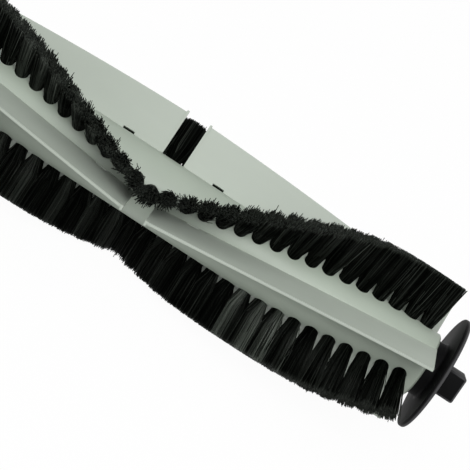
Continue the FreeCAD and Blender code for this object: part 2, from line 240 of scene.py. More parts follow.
def spun(name: str, profile: Sequence[Point], steps: int = 128) -> bpy.types.Object:
    """Turn a profile round the roller's axis into a closed mesh.

    Args:
        name: Name of the new object.
        profile: Corners as distance along the axis and radius.
        steps: Steps of a full turn.

    Returns:
        The turned piece, at the origin.
    """
    closed = list(profile) + [profile[0]] if profile[0][1] > 0 else list(profile)
    piece = draw_line(name, [(along, radius, 0) for along, radius in closed])
    bpy.ops.mesh.select_all(action="SELECT")
    bpy.ops.mesh.spin(steps=steps, angle=FULL_TURN, center=(0, 0, 0), axis=AXIS)
    close_mesh(piece)
    return piece


def square_block(name: str, size: Sequence[float], place: Matrix) -> bpy.types.Object:
    """Make a block.

    Args:
        name: Name of the new object.
        size: Its three sizes.
        place: Frame of its middle.

    Returns:
        The block, at the origin.
    """
    deselect()
    bpy.ops.mesh.primitive_cube_add(size=1)
    piece = bpy.context.object
    piece.name = name
    piece.data.transform(place @ Matrix.Diagonal((*size, 1)))
    return piece


def radial(angle: float) -> Vector:
    """Give the unit vector square to the axis at an angle in degrees."""
    return Vector((0, math.cos(math.radians(angle)), math.sin(math.radians(angle))))


def about_axis(angle: float) -> Matrix:
    """Give the turn about the roller's axis by an angle in degrees."""
    return Matrix.Rotation(math.radians(angle), 4, AXIS)


def end_frame(half: Half, half_core: float) -> Matrix:
    """Give the frame at one end of the core, its +X out of that end."""
    out = Matrix.Translation(AXIS * half_core)
    return out if half is Half.DRIVE else Matrix.Rotation(math.pi, 4, "Z") @ out


def swung(first: Vector, second: Vector, angle: float) -> tuple[Vector, Vector]:
    """Turn two square unit vectors in their plane, the first towards the second, by degrees."""
    turn = math.radians(angle)
    return (math.cos(turn) * first + math.sin(turn) * second,
            math.cos(turn) * second - math.sin(turn) * first)


# Finishes


class Shade:
    """Node tree of one material while it is being made."""

    def __init__(self, name: str) -> None:
        """Start from a Principled shader alone."""
        self.material = bpy.data.materials.new(name)
        self.material.use_nodes = True
        self.tree = self.material.node_tree
        self.shader = self.tree.nodes["Principled BSDF"]

    def node(self, kind: str, inputs: dict[str | int, object] | None = None,
             **settings: object) -> bpy.types.Node:
        """Add a node, as add_node does."""
        return add_node(self.tree, kind, inputs, **settings)

    def mixed(self, factor: bpy.types.NodeSocket, first: object, second: object) -> bpy.types.NodeSocket:
        """Mix two colours.

        Args:
            factor: Share of the second colour.
            first: Colour, or its output socket, at a factor of 0.
            second: Colour, or its output socket, at a factor of 1.

        Returns:
            The mixed colour.
        """
        mix = self.node("Mix", {"Factor": factor}, data_type="RGBA")
        connect(self.tree, mix.inputs[MIX_FIRST], first)
        connect(self.tree, mix.inputs[MIX_SECOND], second)
        return mix.outputs[MIX_RESULT]

    def feed(self, name: str, value: object) -> None:
        """Set or link an input of the shader."""
        connect(self.tree, self.shader.inputs[name], value)


def connect(tree: bpy.types.NodeTree, socket: bpy.types.NodeSocket, value: object) -> None:
    """Link an output socket to an input, or set the input's own value."""
    if isinstance(value, bpy.types.NodeSocket):
        tree.links.new(value, socket)
    else:
        socket.default_value = value


def add_node(tree: bpy.types.NodeTree, kind: str, inputs: dict[str | int, object] | None = None,
             **settings: object) -> bpy.types.Node:
    """Add a node to a tree, with its settings and its inputs set or linked.

    Args:
        tree: Tree that gets the node.
        kind: Node type without its ShaderNode prefix.
        inputs: Values or output sockets for inputs, by name or number.
        settings: The node's own properties.

    Returns:
        The new node.
    """
    node = tree.nodes.new(f"ShaderNode{kind}")
    for name, value in settings.items():
        setattr(node, name, value)
    for name, value in (inputs or {}).items():
        connect(tree, node.inputs[name], value)
    return node


def rgba(colour: Colour) -> tuple[float, float, float, float]:
    """Give a linear colour with full alpha."""
    return (*colour, 1.0)


def make_group(name: str, inputs: dict[str, str], outputs: dict[str, str]) -> bpy.types.NodeTree:
    """Make an empty shader node group with named sockets.

    Args:
        name: Name of the group.
        inputs: Socket types by input name.
        outputs: Socket types by output name.

    Returns:
        The group's tree, with its input and output nodes.
    """
    tree = bpy.data.node_groups.new(name, "ShaderNodeTree")
    for sockets, direction in ((inputs, "INPUT"), (outputs, "OUTPUT")):
        for label, kind in sockets.items():
            tree.interface.new_socket(label, in_out=direction, socket_type=f"NodeSocket{kind}")
    tree.nodes.new("NodeGroupInput")
    tree.nodes.new("NodeGroupOutput")
    return tree


def moulding_group() -> bpy.types.NodeTree:
    """Make the skin of a moulded surface: soft mottling and a fine grain.

    Returns:
        The group, with Vector, Mottle Scale and Grain Scale in, and Mottle and Grain out.
    """
    tree = make_group("moulded_skin", {"Vector": "Vector", "Mottle Scale": "Float", "Grain Scale": "Float"},
                      {"Mottle": "Float", "Grain": "Float"})
    entry, leave = tree.nodes["Group Input"], tree.nodes["Group Output"]
    mottle = add_node(tree, "TexNoise", {"Vector": entry.outputs["Vector"],
                                         "Scale": entry.outputs["Mottle Scale"],
                                         "Detail": MOTTLE_DETAIL})
    grain = add_node(tree, "TexNoise", {"Vector": entry.outputs["Vector"],
                                        "Scale": entry.outputs["Grain Scale"],
                                        "Detail": GRAIN_DETAIL})
    spread = add_node(tree, "MapRange", {"Value": mottle.outputs["Fac"], "From Min": MOTTLE_RANGE[0],
                                        "From Max": MOTTLE_RANGE[1]})
    connect(tree, leave.inputs["Mottle"], spread.outputs["Result"])
    connect(tree, leave.inputs["Grain"], grain.outputs["Fac"])
    return tree


@dataclass(frozen=True)
class Moulded:
    """Moulded plastic or rubber with mottling, fine grain and a soft gloss."""

    name: str
    light: Colour
    dark: Colour
    gloss: tuple[float, float]
    mottle_size: float = 14 * MM
    grain_size: float = 0.22 * MM
    grain_depth: float = 0.012 * MM
    stretch: tuple[float, float, float] = (1.0, 1.0, 1.0)
    specular: float = 0.5
    # Colour of a painted highlight on the marked edges, if any
    edge_highlight: Colour | None = None

    def material(self, skin: bpy.types.NodeTree) -> bpy.types.Material:
        """Make the material.

        Args:
            skin: Group that gives a moulded skin.

        Returns:
            The finished material.
        """
        shade = Shade(self.name)
        place = shade.node("TexCoord")
        turned = shade.node("Mapping", {"Vector": place.outputs["Object"], "Scale": self.stretch})
        group = shade.node("Group", node_tree=skin)
        connect(shade.tree, group.inputs["Vector"], turned.outputs["Vector"])
        group.inputs["Mottle Scale"].default_value = 1 / self.mottle_size
        group.inputs["Grain Scale"].default_value = 1 / self.grain_size
        colour = shade.mixed(group.outputs["Mottle"], rgba(self.dark), rgba(self.light))
        rough = shade.node("MapRange", {"Value": group.outputs["Mottle"], "To Min": self.gloss[0],
                                        "To Max": self.gloss[1]})
        bump = shade.node("Bump", {"Height": group.outputs["Grain"], "Strength": 1.0,
                                   "Distance": self.grain_depth})
        # Painted highlight: marked edges take a lighter colour, as if they caught the light
        if self.edge_highlight is not None:
            edges = shade.node("Attribute", attribute_name=HIGHLIGHT_EDGE_ATTRIBUTE)
            colour = shade.mixed(edges.outputs["Fac"], colour, rgba(self.edge_highlight))
        shade.feed("Base Color", colour)
        shade.feed("Roughness", rough.outputs["Result"])
        shade.feed("Normal", bump.outputs["Normal"])
        shade.feed("Specular IOR Level", self.specular)
        return shade.material


@dataclass(frozen=True)
class Bristle:
    """Drawn nylon bristle: near-black strands, each a little different, with painted sheen on some and a
    painted highlight on the cut ends.
    """

    name: str
    deep: Colour
    pale: Colour
    specular: tuple[float, float] = (0.01, 0.35)
    roughness: float = 0.42
    cut_end: float = 0.97
    # How much paler the cut end is made, a painted highlight
    tip_highlight_level: float = 0.14

    def material(self) -> bpy.types.Material:
        """Make the material from the strands' own attributes."""
        shade = Shade(self.name)
        strand = shade.node("Attribute", attribute_name=STRAND_ATTRIBUTE)
        height = shade.node("Attribute", attribute_name=HEIGHT_ATTRIBUTE)
        # Painted highlight: the last part of each strand turns paler towards its cut end
        tip_highlight = shade.node("MapRange", {"Value": height.outputs["Fac"], "From Min": self.cut_end,
                                       "To Max": self.tip_highlight_level})
        share = shade.node("Math", {0: strand.outputs["Fac"], 1: tip_highlight.outputs["Result"]}, operation="ADD",
                           use_clamp=True)
        sheen = shade.node("MapRange", {"Value": share.outputs[0], "To Min": self.specular[0],
                                        "To Max": self.specular[1]})
        shade.feed("Base Color", shade.mixed(share.outputs[0], rgba(self.deep), rgba(self.pale)))
        shade.feed("Specular IOR Level", sheen.outputs["Result"])
        shade.feed("Roughness", self.roughness)
        return shade.material


@dataclass(frozen=True)
class TurnedMetal:
    """Metal with the fine rings that turning leaves round the axis."""

    name: str
    light: Colour
    dark: Colour
    gloss: tuple[float, float]
    ring_size: float = 0.06 * MM
    ring_squeeze: float = 0.02

    def material(self) -> bpy.types.Material:
        """Make the material."""
        shade = Shade(self.name)
        place = shade.node("TexCoord")
        squeezed = shade.node("Mapping", {"Vector": place.outputs["Object"],
                                          "Scale": (1.0, self.ring_squeeze, self.ring_squeeze)})
        rings = shade.node("TexNoise", {"Vector": squeezed.outputs["Vector"], "Scale": 1 / self.ring_size,
                                        "Detail": GRAIN_DETAIL})
        rough = shade.node("MapRange", {"Value": rings.outputs["Fac"], "To Min": self.gloss[0],
                                        "To Max": self.gloss[1]})
        shade.feed("Base Color", shade.mixed(rings.outputs["Fac"], rgba(self.dark), rgba(self.light)))
        shade.feed("Roughness", rough.outputs["Result"])
        shade.feed("Metallic", 1.0)
        return shade.material


@dataclass
class Palette:
    """Every finish of the brush as a material."""

    materials: dict[Slot, bpy.types.Material] = field(default_factory=dict)

    def mix(self) -> "Palette":
        """Make the materials.

        Returns:
            The palette itself.
        """
        skin = moulding_group()
        core = Moulded("core_plastic", light=(0.34, 0.39, 0.327), dark=(0.308, 0.353, 0.296),
                       gloss=(0.42, 0.5))
        rubber = Moulded("blade_rubber", light=(0.395, 0.438, 0.383), dark=(0.355, 0.396, 0.344),
                         gloss=(0.48, 0.58), stretch=(0.35, 1.0, 1.0))
        # The black plastic's marked edges get a painted highlight colour
        black = Moulded("cap_plastic", light=(0.0045, 0.0045, 0.0048), dark=(0.003, 0.003, 0.0033),
                        gloss=(0.45, 0.55), grain_size=0.3 * MM, grain_depth=0.006 * MM, specular=0.04,
                        edge_highlight=(0.06, 0.06, 0.062))
        nylon = Moulded("washer_nylon", light=(0.8, 0.78, 0.72), dark=(0.74, 0.72, 0.66), gloss=(0.35, 0.45))
        nylon_black = Bristle("bristle_nylon", deep=(0.0006, 0.0009, 0.0006), pale=(0.085, 0.1, 0.082))
        steel = TurnedMetal("pin_steel", light=(0.66, 0.66, 0.64), dark=(0.54, 0.54, 0.53), gloss=(0.2, 0.32))
        plate = TurnedMetal("anchor_steel", light=(0.6, 0.58, 0.53), dark=(0.46, 0.44, 0.4),
                            gloss=(0.3, 0.42))
        bronze = TurnedMetal("bush_bronze", light=(0.62, 0.42, 0.2), dark=(0.5, 0.32, 0.14),
                             gloss=(0.3, 0.42))
        self.materials = {
            Slot.CORE: core.material(skin),
            Slot.BLADE: rubber.material(skin),
            Slot.CAP: black.material(skin),
            Slot.WASHER: nylon.material(skin),
            Slot.BRISTLE: nylon_black.material(),
            Slot.PIN: steel.material(),
            Slot.ANCHOR: plate.material(),
            Slot.BUSH: bronze.material(),
        }
        return self

    def dress(self, piece: bpy.types.Object, slot: Slot, body: Body, *nodes: str) -> None:
        """Finish a new piece.

        Args:
            piece: The new piece.
            slot: Material slot of the record that it shows.
            body: Body that it rides on.
            nodes: Nodes of the solids that it stands for.
        """
        piece.data.materials.clear()
        piece.data.materials.append(self.materials[slot])
        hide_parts(*nodes)
        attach(piece, body.value)
        LOG.info("%s: %d faces for %s", piece.name, len(piece.data.polygons), ", ".join(nodes))


# Bristle rows


@dataclass(frozen=True)
class Comb:
    """How use has bent the tufts of one half row, at even steps from the roller's middle to its end.

    Lean is how far the tips lie round the roller from the tuft's own radius. Fan is half the width of a
    tuft's tip along the row, and swell the share of it that the strands reach at the waist. Sheen is a
    painted sheen: how pale the palest bundle of strands is painted, standing in for light glancing off it.
    Stray is how far tips lie from their place in the tuft. Splay is how far the last tip lies out along the
    axis.
    """

    lean: tuple[float, ...] = (0.0, 0.0)
    fan: tuple[float, ...] = (3.0 * MM, 3.0 * MM)
    swell: tuple[float, ...] = (0.9, 0.9)
    sheen: tuple[float, ...] = (0.45, 0.45)
    stray: tuple[float, ...] = (0.22 * MM, 0.22 * MM)
    splay: float = 0.0

    @staticmethod
    def at(values: Sequence[float], share: float) -> float:
        """Give a value at a share of the way from the middle to the end."""
        return float(np.interp(share, np.linspace(0, 1, len(values)), values))


@dataclass
class BristleRows:
    """Three V-shaped rows of tufts, each tuft a bundle of separate strands."""

    core_radius: float
    row_count: int = 3
    tufts_each_way: int = 16
    pitch: float = 4.5 * MM
    row_twist: float = 98.1
    twist_length: float = 76.5 * MM
    anchor_top: float = 6.0 * MM
    tip_radius: float = 21.0 * MM
    root_spread: float = 1.68 * MM
    tip_across: float = 1.85 * MM
    pinch: float = 0.8
    strands: int = 400
    strand_radius: float = 0.115 * MM
    strand_taper: float = 0.85
    strand_sides: int = 3
    uneven_cut: float = 0.7 * MM
    loose_share: float = 0.07
    loose_stray: float = 0.8 * MM
    bow: float = 0.1 * MM
    waist: float = 0.35
    bend: float = 1.5
    bundle_focus: float = 5.0
    cut_spread: tuple[float, float] = (1.2, 3.0)
    tone_spread: tuple[float, float] = (0.5, 10.0)
    seed: int = 7
    # Sheen values here paint sheen onto the tufts where light glanced off the strands
    combs: dict[tuple[int, Half], Comb] = field(default_factory=lambda: {
        (0, Half.DRIVE): Comb(lean=(0.4 * MM, 1.1 * MM, 0.0, -2.3 * MM, -2.5 * MM),
                              fan=(2.7 * MM, 2.5 * MM, 2.9 * MM, 3.0 * MM), swell=(0.6, 0.6),
                              sheen=(0.3, 0.0, 0.0, 0.1, 0.8), splay=1.2 * MM,
                              stray=(0.4 * MM, 0.45 * MM, 0.3 * MM, 0.22 * MM)),
        (0, Half.IDLE): Comb(lean=(0.4 * MM, 1.7 * MM, 1.8 * MM, 1.8 * MM), swell=(0.65, 0.65),
                             stray=(0.35 * MM, 0.3 * MM)),
        (1, Half.DRIVE): Comb(lean=(0.0, 0.0, 2.0 * MM, 4.0 * MM, 3.2 * MM),
                              fan=(3.0 * MM, 3.0 * MM, 2.5 * MM), swell=(0.9, 0.9, 0.9, 0.45, 0.35),
                              sheen=(0.3, 0.4, 2.4, 0.2, 0.05), splay=1.4 * MM),
    })

    @property
    def twist_per_tuft(self) -> float:
        """Angle about the axis from one tuft of a row to the next."""
        return self.row_twist * self.pitch / self.twist_length

    @property
    def row_start(self) -> float:
        """Angle of the first row's middle tuft."""
        return UPRIGHT + self.twist_per_tuft * self.tufts_each_way / 2

    @property
    def rings(self) -> list[float]:
        """Heights of a strand's rings: at its anchor, the hole's mouth, the waist and the tip."""
        waist = self.core_radius + self.waist * (self.tip_radius - self.core_radius)
        return [self.anchor_top, self.core_radius, waist, self.tip_radius]

    def numbers(self, half: Half) -> range:
        """Give the numbers of the tufts in one half of a row."""
        if half is Half.DRIVE:
            return range(0, self.tufts_each_way + 1)
        return range(-self.tufts_each_way, 0)

    def row_direction(self, number: int) -> np.ndarray:
        """Give the row's direction at a tuft's tip, in the tuft's own axial and sideways axes."""
        sideways = math.radians(self.twist_per_tuft) * self.tip_radius * np.sign(number)
        return np.array([self.pitch, sideways]) / math.hypot(self.pitch, sideways)

    def frame_of(self, row: int, number: int) -> Matrix:
        """Give the frame of one tuft, its +Z out along the tuft."""
        angle = self.row_start - self.twist_per_tuft * abs(number) + row * FULL_CIRCLE / self.row_count
        return Matrix.Translation(AXIS * (number * self.pitch)) @ about_axis(angle - UPRIGHT)

    def places(self) -> Iterable[Matrix]:
        """Give the frame of every tuft."""
        for row in range(self.row_count):
            for number in range(-self.tufts_each_way, self.tufts_each_way + 1):
                yield self.frame_of(row, number)

    def model_strand(self) -> StrandForm:
        """Model one strand of unit radius, with its rings at whole heights.

        Returns:
            Its cross-section at each vertex, each vertex's ring number and its faces.
        """
        deselect()
        bpy.ops.mesh.primitive_circle_add(vertices=self.strand_sides, radius=1, fill_type="NGON")
        strand = bpy.context.object
        bpy.ops.object.mode_set(mode="EDIT")
        bpy.ops.mesh.select_all(action="SELECT")
        for _ in self.rings[1:]:
            bpy.ops.mesh.extrude_region_move(TRANSFORM_OT_translate={"value": (0, 0, 1)})
        close_mesh(strand)
        points = np.array([vertex.co for vertex in strand.data.vertices], float)
        faces = [list(face.vertices) for face in strand.data.polygons]
        bpy.data.objects.remove(strand)
        return points[:, :2], np.rint(points[:, 2]).astype(int), faces

    def strand_lines(self, draw: np.random.Generator, comb: Comb,
                     number: int) -> tuple[np.ndarray, np.ndarray]:
        """Lay out the centre lines of one tuft's strands.

        Args:
            draw: Source of the random draws.
            comb: How the half row is bent.
            number: Number of the tuft, 0 at the roller's middle.

        Returns:
            Points by strand and ring, and each strand's tone from 0 to 1: a random tone plus painted sheen.
        """
        count = self.strands
        share = abs(number) / self.tufts_each_way
        turn = np.arange(count) * GOLDEN_ANGLE + draw.uniform(0, FULL_TURN)
        reach = np.sqrt((np.arange(count) + 0.5) / count)
        out = np.stack([np.cos(turn), np.sin(turn)], axis=1) * reach[:, None]
        mouth = out * self.root_spread
        along = self.row_direction(number)
        across = np.array([-along[1], along[0]])
        stray = comb.at(comb.stray, share)
        loose = np.where(draw.uniform(size=(count, 1)) < self.loose_share, self.loose_stray, stray)
        tip = out @ np.stack([along * comb.at(comb.fan, share), across * self.tip_across])
        tip += draw.normal(0, 1, (count, 2)) * loose
        bent = np.array([np.sign(number) * comb.splay * share, -comb.at(comb.lean, share)])
        middle = mouth + (tip - mouth) * comb.at(comb.swell, share) + bent * self.waist**self.bend
        middle += draw.normal(0, self.bow, (count, 2))
        tip += bent
        line = np.zeros((count, len(self.rings), 3))
        for ring, place in enumerate((mouth * self.pinch, mouth, middle, tip)):
            line[:, ring, :2] = place
            line[:, ring, 2] = self.rings[ring]
        cut = self.tip_radius - self.uneven_cut * draw.beta(*self.cut_spread, count)
        line[:, -1, 2] = np.sqrt(cut**2 - tip[:, 1] ** 2)
        # Painted sheen: one bundle round each tuft is made paler, standing in for light glancing off the
        # strands
        bundle = np.exp(self.bundle_focus * (np.cos(turn - draw.uniform(0, FULL_TURN)) - 1))
        lit = bundle * comb.at(comb.sheen, share) * draw.uniform(0, 1, count)
        return line, np.clip(draw.beta(*self.tone_spread, count) + lit, 0, 1)

    def build_half(self, row: int, half: Half, form: StrandForm,
                   draw: np.random.Generator) -> bpy.types.Object:
        """Build the strands of one half of a row as one mesh.

        Args:
            row: Row number from 0.
            half: Which half of the row.
            form: Cross-section, ring numbers and faces of one strand.
            draw: Source of the random draws.

        Returns:
            The piece, at the origin.
        """
        section, ring, faces = form
        taper = np.linspace(1, self.strand_taper, len(self.rings))[ring]
        around = np.zeros((len(ring), 3))
        around[:, :2] = section * (self.strand_radius * taper)[:, None]
        blocks, shades = [], []
        comb = self.combs.get((row, half), Comb())
        for number in self.numbers(half):
            line, shade = self.strand_lines(draw, comb, number)
            points = (line[:, ring] + around[None]).reshape(-1, 3)
            place = np.array(self.frame_of(row, number))
            blocks.append(points @ place[:3, :3].T + place[:3, 3])
            shades.append(np.repeat(shade, len(ring)))
        vertices = np.concatenate(blocks)
        copies = len(vertices) // len(ring)
        corners = np.concatenate([np.array(face) for face in faces])
        counts = np.tile([len(face) for face in faces], copies)
        mesh = bpy.data.meshes.new(f"bristles_{row + 1}_{half.value}")
        mesh.vertices.add(len(vertices))
        mesh.vertices.foreach_set("co", vertices.ravel())
        mesh.loops.add(len(corners) * copies)
        offsets = np.arange(copies) * len(ring)
        mesh.loops.foreach_set("vertex_index", (corners[None] + offsets[:, None]).ravel())
        mesh.polygons.add(len(counts))
        mesh.polygons.foreach_set("loop_start", np.cumsum(counts) - counts)
        mesh.update(calc_edges=True)
        heights = np.linspace(0, 1, len(self.rings))[ring]
        for name, values in ((STRAND_ATTRIBUTE, np.concatenate(shades)),
                             (HEIGHT_ATTRIBUTE, np.tile(heights, copies))):
            attribute = mesh.attributes.new(name, "FLOAT", "POINT")
            attribute.data.foreach_set("value", values.astype(np.float32))
        piece = bpy.data.objects.new(mesh.name, mesh)
        bpy.context.scene.collection.objects.link(piece)
        activate(piece)
        bpy.ops.object.shade_smooth()
        return piece

    def build(self, palette: Palette) -> None:
        """Build and dress every half row."""
        form = self.model_strand()
        draw = np.random.default_rng(self.seed)
        for row in range(self.row_count):
            for half in Half:
                piece = self.build_half(row, half, form, draw)
                palette.dress(piece, Slot.BRISTLE, Body.ROLLER, f"tuft_row_{row + 1}_{half.value}")


# Blades


@dataclass
class Blades:
    """Three V-shaped rubber blades, each in two strips that slide into the core."""

    core_radius: float
    half_length: float
    start_angle: float
    row_count: int = 3
    twist: float = 55
    lean: float = 6.5
    gap: float = 5.9 * MM
    height: float = 11.8 * MM
    root_thickness: float = 1.1 * MM
    tip_thickness: float = 0.7 * MM
    foot_depth: float = 2.0 * MM
    hook: float = 0.8 * MM
    lip_length: float = 0.6 * MM
    lip_thickness: float = 1.3 * MM
    lip_rise: float = 0.4 * MM
    slot_centre: float = 12.7 * MM
    slot_length: float = 3.1 * MM
    slot_height: float = 0.7 * MM
    slot_cut: float = 3.3 * MM
    slot_land: float = 0.1 * MM
    stations: int = 48
    edge: float = 0.12 * MM

    @property
    def direction(self) -> float:
        """Angle in which the blade stands."""
        return self.start_angle - self.lean

    def root(self, along: float) -> Vector:
        """Give the point of the root on the core at a distance from the middle."""
        angle = self.start_angle - self.twist * along / self.half_length
        return AXIS * along + radial(angle) * self.core_radius

    def at_root(self, along: float, across: float, up: float) -> Vector:
        """Give a point beside the root, across the blade and up it."""
        return self.root(along) + radial(self.direction - UPRIGHT) * across + radial(self.direction) * up

    def block(self, name: str, along: tuple[float, float], seat: float, thickness: float,
              up: tuple[float, float]) -> bpy.types.Object:
        """Make a block that stands square to the blade.

        Args:
            name: Name of the new object.
            along: Its two ends along the axis.
            seat: Distance along the axis whose root it stands on.
            thickness: Its size across the blade.
            up: Its lower and upper ends up the blade.

        Returns:
            The block, at the origin.
        """
        middle = self.at_root(seat, 0, sum(up) / 2)
        middle.x = sum(along) / 2
        return square_block(name, (along[1] - along[0], thickness, up[1] - up[0]),
                            Matrix.Translation(middle) @ about_axis(self.direction - UPRIGHT))

    def build_strip(self) -> bpy.types.Object:
        """Build the drive half of the first blade.

        Returns:
            The strip with its lip and slot, at the origin.
        """
        inner = self.gap / 2
        root, tip = self.root_thickness / 2, self.tip_thickness / 2
        section = [
            (root, -self.foot_depth), (root, 0), (tip, self.height), (-tip, self.height), (-root, 0),
            (-root, self.hook - self.foot_depth), (-root - self.hook, self.hook - self.foot_depth),
            (-root - self.hook, -self.foot_depth),
        ]
        corners = [self.at_root(inner, across, up) for across, up in section]
        strip = draw_line("blade_strip", corners)
        bpy.ops.mesh.select_all(action="SELECT")
        bpy.ops.mesh.edge_face_add()
        ends = np.linspace(inner, self.half_length, self.stations + 1)
        for start, end in zip(ends, ends[1:]):
            step = self.root(end) - self.root(start)
            bpy.ops.mesh.extrude_region_move(TRANSFORM_OT_translate={"value": step})
        close_mesh(strip)
        lip = self.block("blade_lip", (inner, inner + self.lip_length), inner, self.lip_thickness,
                         (self.slot_land, self.height + self.lip_rise))
        join_on(strip, lip)
        ends = (self.slot_centre - self.slot_length / 2, self.slot_centre + self.slot_length / 2)
        slot = self.block("blade_slot", ends, self.slot_centre, self.slot_cut,
                          (self.slot_land, self.slot_land + self.slot_height))
        cut_away(strip, slot)
        soften(strip, self.edge)
        return strip

    def build(self, palette: Palette) -> list[bpy.types.Object]:
        """Build and dress every strip.

        Args:
            palette: The finishes.

        Returns:
            The strips.
        """
        strip = self.build_strip()
        strips = []
        for row in range(self.row_count):
            turn = about_axis(row * FULL_CIRCLE / self.row_count)
            for half in Half:
                side = Matrix.Identity(4) if half is Half.DRIVE else Matrix.Scale(-1, 4, AXIS)
                name = f"strip_{row + 1}_{half.value}"
                piece = placed_copy(strip, name, turn @ side)
                smooth(piece)
                palette.dress(piece, Slot.BLADE, Body.ROLLER, f"blade_{row + 1}_{half.value}")
                strips.append(piece)
        bpy.data.objects.remove(strip)
        return strips


# Core


@dataclass
class Core:
    """Moulded roller with round tuft holes, blade grooves and a square socket in each end."""

    radius: float
    half_length: float
    chamfer: float = 0.4 * MM
    socket_size: float = 4.7 * MM
    socket_depth: float = 11.5 * MM
    hole_radius: float = 1.8 * MM
    hole_bottom: float = 4.5 * MM
    hole_overrun: float = 1.0 * MM
    sides: int = 192
    hole_sides: int = 24
    sharp_angle: float = 30

    def build_blank(self) -> bpy.types.Object:
        """Build the roller with chamfered ends and sockets.

        Returns:
            The blank, at the origin.
        """
        end, shoulder = self.half_length, self.half_length - self.chamfer
        flat = self.radius - self.chamfer
        profile = [(-end, 0), (-end, flat), (-shoulder, self.radius), (shoulder, self.radius), (end, flat),
                   (end, 0)]
        blank = spun("core_moulding", profile, self.sides)
        size = (2 * self.socket_depth, self.socket_size, self.socket_size)
        for side in (-1, 1):
            cut_away(blank, square_block("socket", size, Matrix.Translation(AXIS * (side * end))))
        return blank

    def build_holes(self, places: Iterable[Matrix]) -> bpy.types.Object:
        """Build one cutter for every tuft hole.

        Args:
            places: Frame of each tuft, its +Z out along the tuft.

        Returns:
            The cutter.
        """
        depth = self.radius - self.hole_bottom + self.hole_overrun
        deselect()
        bpy.ops.mesh.primitive_cylinder_add(vertices=self.hole_sides, radius=self.hole_radius, depth=depth)
        form = bpy.context.object
        form.data.transform(Matrix.Translation((0, 0, self.hole_bottom + depth / 2)))
        holes = [placed_copy(form, "tuft_hole", place) for place in places]
        bpy.data.objects.remove(form)
        return joined(holes)

    def build(self, palette: Palette, places: Iterable[Matrix], strips: Sequence[bpy.types.Object]) -> None:
        """Build and dress the core.

        Args:
            palette: The finishes.
            places: Frames of the tufts.
            strips: Blade strips whose feet sit in the core.
        """
        core = self.build_blank()
        cut_away(core, self.build_holes(places))
        for strip in strips:
            cut_away(core, placed_copy(strip, "groove", Matrix.Identity(4)))
        smooth(core, self.sharp_angle)
        palette.dress(core, Slot.CORE, Body.ROLLER, "core")


# End caps and bearing


